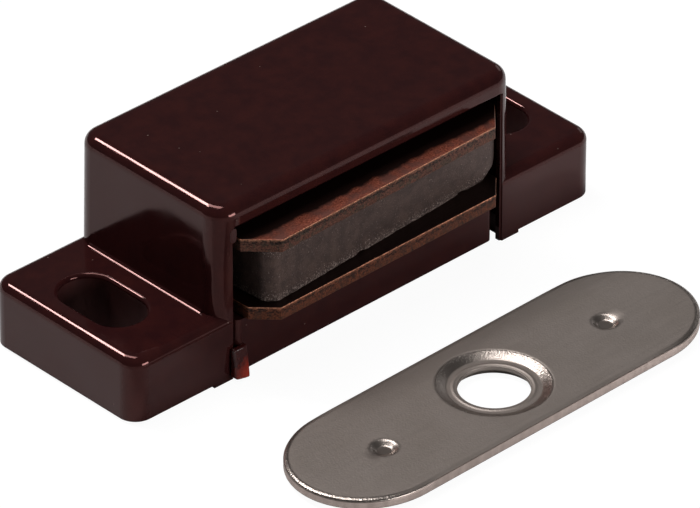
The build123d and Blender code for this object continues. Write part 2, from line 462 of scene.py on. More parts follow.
@dataclass(frozen=True)
class OxidisedStrip:
    """Cold-rolled steel strip, annealed so that it carries a copper-brown oxidised skin.

    It gives the eye a warm, finely flecked brown along the proud strip, and painted shade, near
    black, behind a ragged border where the strip runs in under the housing. It reads how far it is
    behind the front edge, in millimetres, from the attribute "set_back".
    """

    name: str
    unshaded_depth_mm: float
    # painted shade: the near-black colour below is for the strip where the housing shades it
    housing_shade: str = "#26110c"
    strip_brown: str = "#6a2a1e"
    strip_brown_pale: str = "#c9745c"
    scale: str = "#7d524a"
    metallic: float = 0.6
    roughness: tuple[float, float] = (0.34, 0.46)
    fleck_mm: float = 0.15
    fleck_relief: float = 1.4
    roll_mm: float = 0.16
    roll_stretch: float = 0.06
    cloud_mm: float = 1.1
    cloud_cover: float = 0.8
    fade_mm: tuple[float, float] = (0.25, 0.6)
    height_mm: float = 0.006

    def build(self) -> bpy.types.Material:
        """Build the finish.

        Returns:
            The material.
        """
        surface = Surface(self.name)
        # crystals of the oxidised skin, drawn about three times as coarse as they are so that they
        # show
        fleck = surface.add(NOISE, {"Vector": surface.place, "Scale": per_mm(self.fleck_mm),
                                    "Detail": 3.0, "Roughness": 0.7})
        tone = surface.add(RANGE, (fleck, 0.36, 0.64, 0.0, 1.0))
        flecked = surface.add(MIX, {0: tone, 6: linear(self.strip_brown), 7: linear(self.strip_brown_pale)},
                              data_type="RGBA")
        cloud = surface.add(NOISE, {"Vector": surface.place, "Scale": per_mm(self.cloud_mm),
                                    "Detail": 3.0})
        patch = surface.add(RANGE, (cloud, 0.42, 0.62, 0.0, self.cloud_cover))
        strip_brown = surface.add(MIX, {0: patch, 6: flecked, 7: linear(self.scale)}, data_type="RGBA")
        # painted shade: behind a ragged border, set back from the front edge, the strip turns near
        # black, where the housing's roof shades it
        set_back = surface.outputs(ATTRIBUTE, attribute_name="set_back")["Fac"]
        ragged = surface.add(MATH, (cloud, 0.8, set_back), operation="MULTIPLY_ADD")
        start, end = (self.unshaded_depth_mm + fade for fade in self.fade_mm)
        kept = surface.add(RANGE, (ragged, start, end, 0.0, 1.0))
        base = surface.add(MIX, {0: kept, 6: strip_brown, 7: linear(self.housing_shade)}, data_type="RGBA")
        # fine lines of the rolls along the strip
        along = surface.add(MAPPING, {"Vector": surface.place,
                                      "Scale": (self.roll_stretch, 1.0, 1.0)})
        lines = surface.add(NOISE, {"Vector": along, "Scale": per_mm(self.roll_mm), "Detail": 2.0})
        gloss = surface.add(RANGE, (lines, 0.3, 0.7, *self.roughness))
        relief = surface.add(MATH, (fleck, self.fleck_relief, lines), operation="MULTIPLY_ADD")
        bump = surface.add(BUMP, {"Height": relief, "Distance": self.height_mm * MM})
        return surface.end(surface.add(PRINCIPLED, {
            "Base Color": base, "Roughness": gloss, "Normal": bump, "Metallic": self.metallic}))


@dataclass(frozen=True)
class ShearedEdge:
    """The strip's blanked edge: a burnished band where the punch cut, and a torn one below it.

    It gives the eye a painted highlight, a bright band along the upper corner, a row of short tears
    under it and single pits, both darkened with painted shade, and a duller brown band, all finely
    speckled and greyed in patches by scale. It reads the height through the sheet from the
    attribute "through".
    """

    name: str
    cut: str = "#754e3d"
    torn: str = "#5c3a2f"
    scale: str = "#3d352c"
    # painted shade for the tears and pits, and a painted highlight for the upper corner, below
    pit_shade: str = "#1a110f"
    painted_shading_line: str = "#bd8165"
    metallic: float = 0.6
    cut_roughness: float = 0.38
    torn_roughness: float = 0.55
    tear_level: float = 0.8
    tear_wander: float = 0.1
    tear_band: float = 0.12
    tear_cover: float = 0.8
    tear_mm: float = 0.11
    pit_cover: float = 0.7
    scale_cover: float = 0.75
    highlight_span: tuple[float, float] = (0.88, 0.94)
    highlight_cover: float = 0.85
    speckle: tuple[float, float] = (1.85, 0.4)
    ragged_mm: float = 0.45
    grain_mm: float = 0.13
    height_mm: float = 0.025

    def build(self) -> bpy.types.Material:
        """Build the finish.

        Returns:
            The material.
        """
        surface = Surface(self.name)
        through = surface.outputs(ATTRIBUTE, attribute_name="through")["Fac"]
        # the torn grain, drawn about twice as coarse as it is so that it shows
        grain = surface.add(NOISE, {"Vector": surface.place, "Scale": per_mm(self.grain_mm),
                                    "Detail": 2.0, "Roughness": 0.7})
        ragged = surface.add(NOISE, {"Vector": surface.place, "Scale": per_mm(self.ragged_mm),
                                     "Detail": 3.0})
        # the line between cut and tear wanders along the edge
        level = surface.add(RANGE, (ragged, 0.3, 0.7, self.tear_level - self.tear_wander,
                                    self.tear_level + self.tear_wander))
        above = surface.add(MATH, (through, level), operation="SUBTRACT")
        burnish = surface.add(RANGE, (above, -0.05, 0.06, 0.0, 1.0))
        metal = surface.add(MIX, {0: burnish, 6: linear(self.torn), 7: linear(self.cut)},
                            data_type="RGBA")
        patch = surface.add(RANGE, (ragged, 0.5, 0.6, 0.0, self.scale_cover))
        scaled = surface.add(MIX, {0: patch, 6: metal, 7: linear(self.scale)}, data_type="RGBA")
        # tears lie along the edge just under that line, and single pits anywhere; painted shade
        # darkens both
        level_wise = surface.add(MAPPING, {"Vector": surface.place, "Scale": (0.5, 0.5, 1.0)})
        dashes = surface.add(NOISE, {"Vector": level_wise, "Scale": per_mm(self.tear_mm),
                                     "Detail": 1.0})
        torn_open = surface.add(RANGE, (dashes, 0.48, 0.54, 0.0, self.tear_cover))
        band = surface.add(MATH, (above, -self.tear_band, self.tear_band), operation="COMPARE")
        tear = surface.add(MATH, (band, torn_open), operation="MULTIPLY")
        pits = surface.add(RANGE, (grain, 0.6, 0.7, 0.0, self.pit_cover))
        dark = surface.add(MATH, (tear, pits), operation="MAXIMUM")
        pitted = surface.add(MIX, {0: dark, 6: scaled, 7: linear(self.pit_shade)}, data_type="RGBA")
        # painted highlight: a bright band near the top of the edge, along the upper corner
        corner = surface.add(RANGE, (through, *self.highlight_span, 0.0, self.highlight_cover))
        lined = surface.add(MIX, {0: corner, 6: pitted, 7: linear(self.painted_shading_line)}, data_type="RGBA")
        shade = surface.add(RANGE, (grain, 0.34, 0.66, *self.speckle))
        speckled = surface.add(VECTOR, {0: lined, "Scale": shade}, operation="SCALE")
        gloss = surface.add(RANGE, (burnish, 0.0, 1.0, self.torn_roughness, self.cut_roughness))
        relief = surface.add(MATH, (dark, -1.0, grain), operation="MULTIPLY_ADD")
        bump = surface.add(BUMP, {"Height": relief, "Distance": self.height_mm * MM})
        return surface.end(surface.add(PRINCIPLED, {
            "Base Color": speckled, "Roughness": gloss, "Normal": bump, "Metallic": self.metallic}))


@dataclass(frozen=True)
class SinteredFerrite:
    """Pressed and sintered ferrite, unground.

    It gives the eye a dull brown-grey ceramic with a sandy grain and pale dust caught at the worn
    ends. It reads how worn it is from the attribute "worn".
    """

    name: str = "sintered_ferrite"
    body: str = "#1b1311"
    body_light: str = "#3d302a"
    dust: str = "#a3938b"
    sheen_tint: str = "#ffdcd4"
    ior: float = 1.75
    roughness: float = 0.55
    grain_mm: float = 0.12
    cloud_mm: float = 0.8
    dust_span: tuple[float, float] = (0.66, 0.76)
    dust_cover: float = 0.8
    dust_when_worn: float = 0.2
    height_mm: float = 0.035

    def build(self) -> bpy.types.Material:
        """Build the finish.

        Returns:
            The material.
        """
        surface = Surface(self.name)
        # pressed powder, drawn about twice as coarse as it is so that it shows
        grain = surface.add(NOISE, {"Vector": surface.place, "Scale": per_mm(self.grain_mm),
                                    "Detail": 2.0, "Roughness": 0.7})
        cloud = surface.add(NOISE, {"Vector": surface.place, "Scale": per_mm(self.cloud_mm),
                                    "Detail": 3.0})
        mottle = surface.add(MATH, (grain, 0.9, cloud), operation="MULTIPLY_ADD")
        tone = surface.add(RANGE, (mottle, 0.8, 1.12, 0.0, 1.0))
        base = surface.add(MIX, {0: tone, 6: linear(self.body), 7: linear(self.body_light)},
                           data_type="RGBA")
        # dust stays in the coarser grains, and in more of them where the block is worn
        worn = surface.outputs(ATTRIBUTE, attribute_name="worn")["Fac"]
        caught = surface.add(MATH, (worn, self.dust_when_worn, grain), operation="MULTIPLY_ADD")
        speck = surface.add(RANGE, (caught, *self.dust_span, 0.0, self.dust_cover))
        dusty = surface.add(MIX, {0: speck, 6: base, 7: linear(self.dust)}, data_type="RGBA")
        bump = surface.add(BUMP, {"Height": grain, "Distance": self.height_mm * MM})
        return surface.end(surface.add(PRINCIPLED, {
            "Base Color": dusty, "Roughness": self.roughness, "Normal": bump, "IOR": self.ior,
            "Specular Tint": linear(self.sheen_tint)}))


@dataclass(frozen=True)
class SatinNickel:
    """Nickel plate over pressed steel strip, barrel-finished.

    It gives the eye a warm grey satin that stays even over the flat, and breaks into bright grains
    where the strip was stretched. It reads how far it was stretched from the attribute "strained".
    """

    name: str = "satin_nickel_plate"
    metal: str = "#aca19b"
    metal_dull: str = "#9f948c"
    roughness: tuple[float, float] = (0.485, 0.515)
    burnish: float = -0.21
    cloud_mm: float = 3.0
    brush_mm: float = 0.2
    brush_stretch: float = 0.08
    brush_relief: float = 0.1
    grain_mm: float = 0.15
    peel_span: tuple[float, float] = (2.0, 9.5)
    height_mm: float = 0.006

    def build(self) -> bpy.types.Material:
        """Build the finish.

        Returns:
            The material.
        """
        surface = Surface(self.name)
        cloud = surface.add(NOISE, {"Vector": surface.place, "Scale": per_mm(self.cloud_mm),
                                    "Detail": 4.0})
        base = surface.add(MIX, {0: cloud, 6: linear(self.metal), 7: linear(self.metal_dull)},
                           data_type="RGBA")
        along = surface.add(MAPPING, {"Vector": surface.place,
                                      "Scale": (self.brush_stretch, 1.0, 1.0)})
        lines = surface.add(NOISE, {"Vector": along, "Scale": per_mm(self.brush_mm), "Detail": 2.0})
        gloss = surface.add(RANGE, (lines, 0.3, 0.7, *self.roughness))
        # the punches burnished what they stretched
        strained = surface.outputs(ATTRIBUTE, attribute_name="strained")["Fac"]
        rubbed = surface.add(RANGE, (strained, 0.0, 0.8, 0.0, self.burnish))
        polished = surface.add(MATH, (rubbed, gloss), operation="ADD")
        # the strip's grain lifts into an orange peel there
        grain = surface.add(NOISE, {"Vector": surface.place, "Scale": per_mm(self.grain_mm),
                                    "Detail": 2.0})
        peel = surface.add(RANGE, (strained, 0.6, 1.0, *self.peel_span))
        rough = surface.add(MATH, (grain, peel), operation="MULTIPLY")
        relief = surface.add(MATH, (lines, self.brush_relief, rough), operation="MULTIPLY_ADD")
        bump = surface.add(BUMP, {"Height": relief, "Distance": self.height_mm * MM})
        return surface.end(surface.add(PRINCIPLED, {
            "Base Color": base, "Roughness": polished, "Normal": bump, "Metallic": 1.0}))


@dataclass(frozen=True)
class NickelEdge:
    """The strike's blanked edge, plated with the rest.

    It gives the eye a paler, pinkish band between two narrow dark bands of painted shade, one along
    the foot and one under the rounded shoulder, with fine upright scores. It reads the height
    through the sheet from the attribute "through".
    """

    name: str = "nickel_plated_edge"
    metal: str = "#dccac2"
    metal_dull: str = "#cbb9b1"
    # painted shade for the bands along the foot and under the rounded shoulder
    painted_shading_line: str = "#5a4c46"
    roughness: float = 0.45
    score_mm: float = 0.5
    score_stretch: float = 0.2
    foot_shade_span: tuple[float, float] = (0.12, 0.04)
    foot_shade_cover: float = 0.8
    crease_shade_span: tuple[float, float] = (0.88, 0.98)
    crease_shade_cover: float = 0.9
    height_mm: float = 0.006

    def build(self) -> bpy.types.Material:
        """Build the finish.

        Returns:
            The material.
        """
        surface = Surface(self.name)
        upright = surface.add(MAPPING, {"Vector": surface.place,
                                        "Scale": (1.0, 1.0, self.score_stretch)})
        scores = surface.add(NOISE, {"Vector": upright, "Scale": per_mm(self.score_mm),
                                     "Detail": 4.0})
        tone = surface.add(RANGE, (scores, 0.35, 0.65, 0.0, 1.0))
        base = surface.add(MIX, {0: tone, 6: linear(self.metal), 7: linear(self.metal_dull)},
                           data_type="RGBA")
        # painted shade: a dark band along the foot, and another under the rounded shoulder
        through = surface.outputs(ATTRIBUTE, attribute_name="through")["Fac"]
        foot = surface.add(RANGE, (through, *self.foot_shade_span, 0.0, self.foot_shade_cover))
        crease_shade = surface.add(RANGE, (through, *self.crease_shade_span, 0.0, self.crease_shade_cover))
        lines = surface.add(MATH, (foot, crease_shade), operation="MAXIMUM")
        lined = surface.add(MIX, {0: lines, 6: base, 7: linear(self.painted_shading_line)}, data_type="RGBA")
        bump = surface.add(BUMP, {"Height": scores, "Distance": self.height_mm * MM})
        return surface.end(surface.add(PRINCIPLED, {
            "Base Color": lined, "Roughness": self.roughness, "Normal": bump, "Metallic": 1.0}))


# ------------------------------------------------------------------ sub-assemblies
@dataclass
class Moulding:
    """The housing and the base insert, and the flash that hangs from the insert's left end.

    The flash's sides are given left and right, its front at the top and at the foot, and its foot
    left and right.
    """

    nodes: Nodes
    flash_x_mm: tuple[float, float] = (-13.72, -12.3)
    flash_back_mm: float = -7.7
    flash_front_mm: tuple[float, float] = (-8.2, -8.55)
    flash_foot_mm: tuple[float, float] = (0.3, 0.01)
    flash_top_mm: float = 2.8
    flash_rounding_mm: float = 0.34
    glow_gain: float = 1.5
    glow_offset: float = 0.35

    def build(self) -> list[bpy.types.Object]:
        """Shape the flash and dress the mouldings.

        Returns:
            The pieces of the moulding.
        """
        plastic = MouldedPolystyrene().build()
        mouldings = [self.nodes["housing"], self.nodes["base_insert"]]
        for moulding in mouldings:
            moulding.data.materials[0] = plastic
        return [*mouldings, self._flash()]

    def _flash(self) -> bpy.types.Object:
        """Build the lump of flash: it bulges at its foot and hangs lowest at the right.

        Returns:
            The piece.
        """
        mesh = self._lump()
        left, right = self.flash_x_mm
        # painted glow mask for GateFlash, rising towards the foot and the right
        glow_mask = mesh.attributes.new("glow_mask", "FLOAT", "POINT")
        for vert, value in zip(mesh.vertices, glow_mask.data):
            across = (vert.co.x / MM - left) / (right - left)
            down = 1.0 - vert.co.z / MM / self.flash_top_mm
            painted_glow = self.glow_gain * (0.5 + 0.5 * across) * down - self.glow_offset
            value.value = min(1.0, max(0.0, painted_glow))
        mesh.materials.append(GateFlash().build())
        mesh.shade_smooth()
        return add_piece("gate_flash", mesh, Body.CATCH, Slot.PLASTIC)

    def _lump(self) -> bpy.types.Mesh:
        """Round a block off into the lump.

        Returns:
            The lump's mesh.
        """
        left, right = self.flash_x_mm
        shell = bmesh.new()
        bmesh.ops.create_cube(shell, size=1.0)
        for vert in shell.verts:
            at_right, at_top = vert.co.x > 0, vert.co.z > 0
            front = self.flash_front_mm[0 if at_top else 1]
            foot = self.flash_foot_mm[1 if at_right else 0]
            vert.co = Vector((right if at_right else left,
                              self.flash_back_mm if vert.co.y > 0 else front,
                              self.flash_top_mm if at_top else foot)) * MM
        mesh = bpy.data.meshes.new("flash_block")
        shell.to_mesh(mesh)
        shell.free()
        block = holder_for(mesh, "flash_block")
        bevel = block.modifiers.new("rounding", "BEVEL")
        bevel.width = self.flash_rounding_mm * MM
        bevel.segments = 3
        smooth = block.modifiers.new("subdivision", "SUBSURF")
        smooth.levels = smooth.render_levels = 3
        return evaluated_mesh(block)


@dataclass
class PolePlates:
    """The two steel plates that carry the magnet's poles to the front.

    The upper one has painted shade behind its proud front, where the housing's roof shades it, and
    the lower one, under it, has painted shade over all its rolled faces. A face is a rolled one if
    its normal's Z is over rolled_above, up or down, and else the blanked edge.
    """

    nodes: Nodes
    burr_mm: float = 0.07
    # how far behind the front the painted shade starts, on the upper plate and on the lower
    unshaded_strip_mm: float = 1.35
    shaded_throughout_mm: float = -1.0
    rolled_above: float = 0.8

    def build(self) -> list[bpy.types.Object]:
        """Build both plates from the CAD's, with worn corners and a blanked edge.

        Returns:
            The two plates.
        """
        finishes = {
            "upper_pole_plate": (OxidisedStrip("annealed_strip_shaded_behind", self.unshaded_strip_mm),
                                 ShearedEdge("sheared_edge_upper")),
            "lower_pole_plate": (OxidisedStrip("annealed_strip", self.shaded_throughout_mm),
                                 ShearedEdge("sheared_edge_lower", cut="#7d4b35", torn="#5f3423",
                                             scale="#402a21")),
        }
        return [self._plate(name, face.build(), edge.build())
                for name, (face, edge) in finishes.items()]

    def _plate(self, name: str, face: bpy.types.Material,
               edge: bpy.types.Material) -> bpy.types.Object:
        """Build one plate.

        Args:
            name: the CAD node that it stands for.
            face: the finish of the rolled faces.
            edge: the finish of the blanked edge.

        Returns:
            The piece.
        """
        blank = holder_for(merged_copy(self.nodes[name]), name + "_blank")
        bevel = blank.modifiers.new("burr", "BEVEL")
        bevel.width = self.burr_mm * MM
        bevel.segments = 2
        bevel.harden_normals = True
        mesh = evaluated_mesh(blank)
        mesh.materials.clear()
        mesh.materials.append(face)
        mesh.materials.append(edge)
        low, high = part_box(name)
        through = mesh.attributes.new("through", "FLOAT", "POINT")
        set_back = mesh.attributes.new("set_back", "FLOAT", "POINT")
        for vert, level, depth in zip(mesh.vertices, through.data, set_back.data):
            level.value = (vert.co.z - low.z) / (high.z - low.z)
            depth.value = (vert.co.y - low.y) / MM
        for polygon in mesh.polygons:
            polygon.material_index = 0 if abs(polygon.normal.z) > self.rolled_above else 1
        return add_piece(name.replace("pole_plate", "pole"), mesh, Body.PACK, Slot.POLE, name)


@dataclass
class FerriteMagnet:
    """The ferrite block between the pole plates, with the chipped edges of a pressed part.

    chip_span gives the noise levels between which a chip deepens from none to chip_mm.
    """

    length_mm: float = 24.6
    depth_mm: float = 11.5
    height_mm: float = 4.78
    corner_mm: float = 1.2
    wear_mm: float = 0.14
    wear_patch_mm: float = 0.8
    wear_swing: float = 1.8
    chip_mm: float = 0.4
    chip_spacing_mm: float = 2.2
    chip_span: tuple[float, float] = (0.58, 0.75)
    broken_mm: float = 1.5
    broken_reach_mm: float = 1.9
    worn_reach_mm: float = 1.1
    yaw_deg: float = 4.2
    steps: tuple[int, int, int] = (150, 70, 36)
    seed: float = 7.0

    def build(self) -> list[bpy.types.Object]:
        """Build the block in the place of the CAD's.

        Returns:
            The block, in a list.
        """
        sizes = {"Length": self.length_mm, "Depth": self.depth_mm, "Height": self.height_mm,
                 "Corner Radius": self.corner_mm, "Wear": self.wear_mm, "Chips": self.chip_mm,
                 "Broken Corner": self.broken_mm}
        tree = GeometryTree("chipped_block", {
            **{label: size * MM for label, size in sizes.items()},
            "Seed": self.seed, "Ferrite": SinteredFerrite().build()})
        entry = tree.entry
        size = tree.add(JOIN, (entry["Length"], entry["Depth"], entry["Height"]))
        block = tree.add("GeometryNodeMeshCube", (size, *self.steps))
        place = tree.outputs(SPLIT, (tree.add(POSITION),))
        plan, depth_in, outwards = self._round_plan(tree, place)
        chip, worn = self._chip_edges(tree, place, depth_in, outwards)
        named = tree.add(STORE, {"Geometry": block, "Name": "worn", "Value": worn})
        position = tree.add(VECTOR, (plan, chip), operation="SUBTRACT")
        shaped = tree.add("GeometryNodeSetPosition", {"Geometry": named, "Position": position})
        low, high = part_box("magnet")
        whole = tree.place(shaped, (low + high) / 2, self.yaw_deg)
        mesh = tree.run(tree.add(SET_MATERIAL, {"Geometry": whole, "Material": entry["Ferrite"]}))
        return [add_piece("magnet_block", mesh, Body.PACK, Slot.FERRITE, "magnet")]

    @staticmethod
    def _round_plan(tree: GeometryTree, place: Any) -> tuple[Socket, Socket, Socket]:
        """Turn the square corners of the block's plan into round ones.

        Args:
            tree: the block's tree.
            place: a point's X, Y and Z.

        Returns:
            The rounded position, how far a point lies inside the side walls, and its direction
            outwards.
        """
        past, inside, signs = [], [], []
        for axis, span in (("X", "Length"), ("Y", "Depth")):
            half = tree.add(MATH, (tree.entry[span], 0.5), operation="MULTIPLY")
            inner = tree.add(MATH, (half, tree.entry["Corner Radius"]), operation="SUBTRACT")
            far = tree.add(MATH, (place[axis],), operation="ABSOLUTE")
            beyond = tree.add(MATH, (far, inner), operation="SUBTRACT")
            past.append(tree.add(MATH, (beyond, 0.0), operation="MAXIMUM"))
            inside.append(tree.add(MATH, (half, far), operation="SUBTRACT"))
            signs.append(tree.add(MATH, (place[axis],), operation="SIGN"))
        # square rings round each corner's centre become round ones
        corner = tree.add(JOIN, (*past, 0.0))
        reach = tree.add(VECTOR, (corner,), operation="LENGTH")
        square = tree.add(MATH, tuple(past), operation="MAXIMUM")
        ring = tree.add(MATH, (square, reach), operation="DIVIDE")
        pull = tree.add(MATH, (1.0, ring), operation="SUBTRACT")
        quarter = tree.add(JOIN, (*signs, 0.0))
        outwards = tree.add(VECTOR, (corner, quarter), operation="MULTIPLY")
        shift = tree.add(VECTOR, {0: outwards, "Scale": pull}, operation="SCALE")
        position = tree.add(VECTOR, (tree.add(POSITION), shift), operation="SUBTRACT")
        return position, tree.add(MATH, tuple(inside), operation="MINIMUM"), outwards

    def _chip_edges(self, tree: GeometryTree, place: Any, depth_in: Socket,
                    outwards: Socket) -> tuple[Socket, Socket]:
        """Wear the block's upper and lower edges, and break chips out of them.

        Args:
            tree: the block's tree.
            place: a point's X, Y and Z.
            depth_in: how far a point lies inside the side walls.
            outwards: a vector out through the side wall.

        Returns:
            How far a point goes in, as a vector, and how worn it is, from 0 to 1.
        """
        entry = tree.entry
        half = tree.add(MATH, (entry["Height"], 0.5), operation="MULTIPLY")
        level = tree.add(MATH, (place["Z"],), operation="ABSOLUTE")
        below = tree.add(MATH, (half, level), operation="SUBTRACT")
        to_edge = tree.add(MATH, (depth_in, below), operation="ADD")
        rough, chips = (
            tree.add(NOISE, {"W": entry["Seed"], "Scale": per_mm(size), "Detail": detail},
                     noise_dimensions="4D")
            for size, detail in ((self.wear_patch_mm, 3.0), (self.chip_spacing_mm, 2.0)))
        broken = tree.add(RANGE, (chips, *self.chip_span, 0.0, 1.0))
        uneven = tree.add(MATH, (rough, self.wear_swing), operation="MULTIPLY")
        rub = tree.add(MATH, (uneven, entry["Wear"]), operation="MULTIPLY")
        worn_off = tree.add(MATH, (broken, entry["Chips"], rub), operation="MULTIPLY_ADD")
        # the lower corner at the right end is broken off
        half_length = tree.add(MATH, (entry["Length"], 0.5), operation="MULTIPLY")
        from_end = tree.add(MATH, (half_length, place["X"]), operation="SUBTRACT")
        at_end = tree.add(RANGE, (from_end, 0.0, self.broken_reach_mm * MM,
                                  entry["Broken Corner"], 0.0))
        at_foot = tree.add(MATH, (place["Z"], 0.0), operation="LESS_THAN")
        reach = tree.add(MATH, (at_end, at_foot, worn_off), operation="MULTIPLY_ADD")
        over = tree.add(MATH, (reach, to_edge), operation="SUBTRACT")
        cut = tree.add(MATH, (over, 0.0), operation="MAXIMUM")
        half_cut = tree.add(MATH, (cut, 0.5), operation="MULTIPLY")
        side = tree.add(VECTOR, (outwards,), operation="NORMALIZE")
        upright = tree.add(JOIN, (0.0, 0.0, tree.add(MATH, (place["Z"],), operation="SIGN")))
        both = tree.add(VECTOR, (side, upright), operation="ADD")
        chip = tree.add(VECTOR, {0: both, "Scale": half_cut}, operation="SCALE")
        return chip, tree.add(RANGE, (to_edge, 0.0, self.worn_reach_mm * MM, 1.0, 0.0))


@dataclass
class StrikePlate:
    """The strike: a stadium of sheet, pressed into a dish round its hole and pricked for its barbs.

    Its skin is one closed ring of rings. Rings run out over the top from the hole to the outline,
    down the blanked edge, back under the sheet and up the hole's wall. Spokes crowd towards the two
    ends.

    A strain is given as the two distances between which it changes, in millimetres, and its most.
    ring_shares divides the way from the rim to the shoulder: each entry says where a stretch starts
    and ends among the rings, from 0 to 1, and its share of the distance.
    """

    length_mm: float = 37.95
    width_mm: float = 11.6
    end_mm: float = 6.33
    sheet_mm: float = 0.8
    lift_mm: float = 0.5
    corner_mm: float = 0.07
    corner_over_deg: float = 62.0
    weld_mm: float = 0.001
    hole_mm: float = 2.67
    bead_mm: float = 0.055
    bead_middle_mm: float = 0.3
    bead_half_mm: float = 0.17
    coined_mm: float = 0.3
    coin_width_mm: float = 0.5
    dish_mm: float = 4.32
    dish_floor_mm: float = 3.5
    dish_depth_mm: float = 0.405
    dish_blend_mm: float = 0.07
    under_dish_mm: float = 0.2
    under_dish_rise: float = 0.64
    under_dish_blend_mm: float = 0.2
    rim_mm: float = 4.75
    prick_spacing_mm: float = 22.9
    prick_depth_mm: float = 0.32
    prick_skew_mm: float = 0.38
    prick_floor_mm: float = 0.56
    prick_rise: float = 0.74
    prick_blend_mm: float = 0.1
    under_prick_mm: float = 0.35
    under_prick_rise: float = 1.11
    roll_mm: float = 0.48
    roll_depth_mm: float = 0.21
    roll_at_side: float = 0.2
    roll_span_mm: tuple[float, float] = (11.0, 15.5)
    dish_strain: Strain = (4.24, 4.34, 1.0)
    slope_strain: Strain = (3.4, 3.6, 0.8)
    lip_strain: Strain = (3.85, 4.15, 0.2)
    prick_strain: Strain = (1.0, 1.25, 0.6)
    roll_strain: Strain = (0.32, 0.46, 0.8)
    yaw_deg: float = 1.27
    middle_mm: tuple[float, float] = (-1.24, -22.298)
    spokes: int = 320
    skin_rings: int = 84
    wall_rings: int = 4
    ring_shares: tuple[tuple[float, float, float], ...] = (
        (0.31, 0.42, 0.37), (0.42, 0.78, 0.18), (0.78, 0.88, 0.45))

    def build(self) -> list[bpy.types.Object]:
        """Build the strike in the place of the CAD's.

        Returns:
            The strike, in a list.
        """
        sizes = {
            "Length": self.length_mm, "Width": self.width_mm, "End": self.end_mm,
            "Sheet": self.sheet_mm, "Lift": self.lift_mm, "Dish Floor": self.dish_floor_mm,
            "Dish Depth": self.dish_depth_mm, "Coined": self.coined_mm, "Bead": self.bead_mm,
            "Hole": self.hole_mm, "Prick Spacing": self.prick_spacing_mm,
            "Prick Depth": self.prick_depth_mm, "Prick Skew": self.prick_skew_mm,
            "Rim": self.rim_mm, "Roll": self.roll_mm, "Roll Depth": self.roll_depth_mm}
        rings = 2 * (self.skin_rings + self.wall_rings)
        tree = GeometryTree("pressed_strike", {
            **{label: size * MM for label, size in sizes.items()},
            "Rings": rings + 1, "Spokes": self.spokes + 1,
            "Plated Face": SatinNickel().build(), "Plated Edge": NickelEdge().build()})
        entry = tree.entry
        place = tree.outputs(SPLIT, (tree.add(POSITION),))
        along = tree.add(MATH, (place["X"], 0.5), operation="ADD")
        skin, side, on_edge = self._profile(tree, along, rings)
        spoke, outline, lean = self._spoke(tree, place["Y"])
        radius = self._radius(tree, skin, outline, lean)
        short = tree.add(MATH, (outline, radius), operation="SUBTRACT")
        inside = tree.add(MATH, (short, lean), operation="MULTIPLY")
        flat = tree.outputs(SPLIT, (tree.add(VECTOR, {0: spoke, "Scale": radius},
                                             operation="SCALE"),))
        far = tree.add(MATH, (flat["X"],), operation="ABSOLUTE")
        to_prick = self._to_prick(tree, far, flat)
        # the sheet drew down over the die at its ends, and hardly along its sides
        start, end = self.roll_span_mm
        at_end = tree.add(RANGE, (far, start * MM, end * MM, self.roll_at_side, 1.0))
        height = self._height(tree, radius, to_prick, (inside, at_end), side)
        position = tree.add(JOIN, (flat["X"], flat["Y"], height))
        strained = self._strain(tree, radius, to_prick, (inside, at_end))
        sheet = tree.add("GeometryNodeMeshGrid", (1.0, 1.0, entry["Rings"], entry["Spokes"]))
        for name, value, domain in (("blanked", on_edge, "FACE"), ("through", side, "POINT"),
                                    ("strained", strained, "POINT")):
            sheet = tree.add(STORE, {"Geometry": sheet, "Name": name, "Value": value},
                             domain=domain)
        shaped = tree.add("GeometryNodeSetPosition", {"Geometry": sheet, "Position": position})
        closed = tree.add("GeometryNodeMergeByDistance", {"Geometry": shaped,
                                                          "Distance": self.weld_mm * MM})
        whole = tree.place(closed, Vector((*self.middle_mm, 0.0)) * MM, self.yaw_deg)
        faced = tree.add(SET_MATERIAL, {"Geometry": whole, "Material": entry["Plated Face"]})
        blanked = tree.add("GeometryNodeInputNamedAttribute", {"Name": "blanked"},
                           data_type="BOOLEAN")
        edged = tree.add(SET_MATERIAL, {"Geometry": faced, "Selection": blanked,
                                        "Material": entry["Plated Edge"]})
        mesh = self._ease(tree.run(edged))
        return [add_piece("strike_sheet", mesh, Body.CATCH, Slot.STRIKE, "strike_plate")]

    def _ease(self, mesh: bpy.types.Mesh) -> bpy.types.Mesh:
        """Round the sheet's four sharp corners, as the blanking and the plating leave them.

        Args:
            mesh: the sheet with sharp corners.

        Returns:
            The eased sheet.
        """
        sheet = holder_for(mesh, "strike_blank")
        bevel = sheet.modifiers.new("easing", "BEVEL")
        bevel.width = self.corner_mm * MM
        bevel.segments = 3
        bevel.angle_limit = math.radians(self.corner_over_deg)
        bevel.harden_normals = True
        return evaluated_mesh(sheet)

    def _profile(self, tree: GeometryTree, along: Socket,
                 rings: int) -> tuple[Socket, Socket, Socket]:
        """Say where each ring lies on the sheet's section.

        Args:
            tree: the strike's tree.
            along: the way round the section, from 0 to 1.
            rings: the number of steps round the section.

        Returns:
            How far the ring is from hole to outline, from 0 to 1, which skin it is on, from 0 for
            the lower to 1 for the upper, and whether it is on the blanked edge.
        """
        top_end = self.skin_rings / rings
        edge_end = top_end + self.wall_rings / rings
        under_end = edge_end + top_end
        out = tree.add(RANGE, (along, 0.0, top_end, 0.0, 1.0))
        back = tree.add(RANGE, (along, edge_end, under_end, 1.0, 0.0))
        skin = tree.add(MATH, (out, back), operation="MINIMUM")
        down = tree.add(RANGE, (along, top_end, edge_end, 1.0, 0.0))
        up = tree.add(RANGE, (along, under_end, 1.0, 0.0, 1.0))
        side = tree.add(MATH, (down, up), operation="ADD")
        half_wall = self.wall_rings / rings / 2
        on_edge = tree.add(MATH, (along, top_end + half_wall, half_wall), operation="COMPARE")
        return skin, side, on_edge

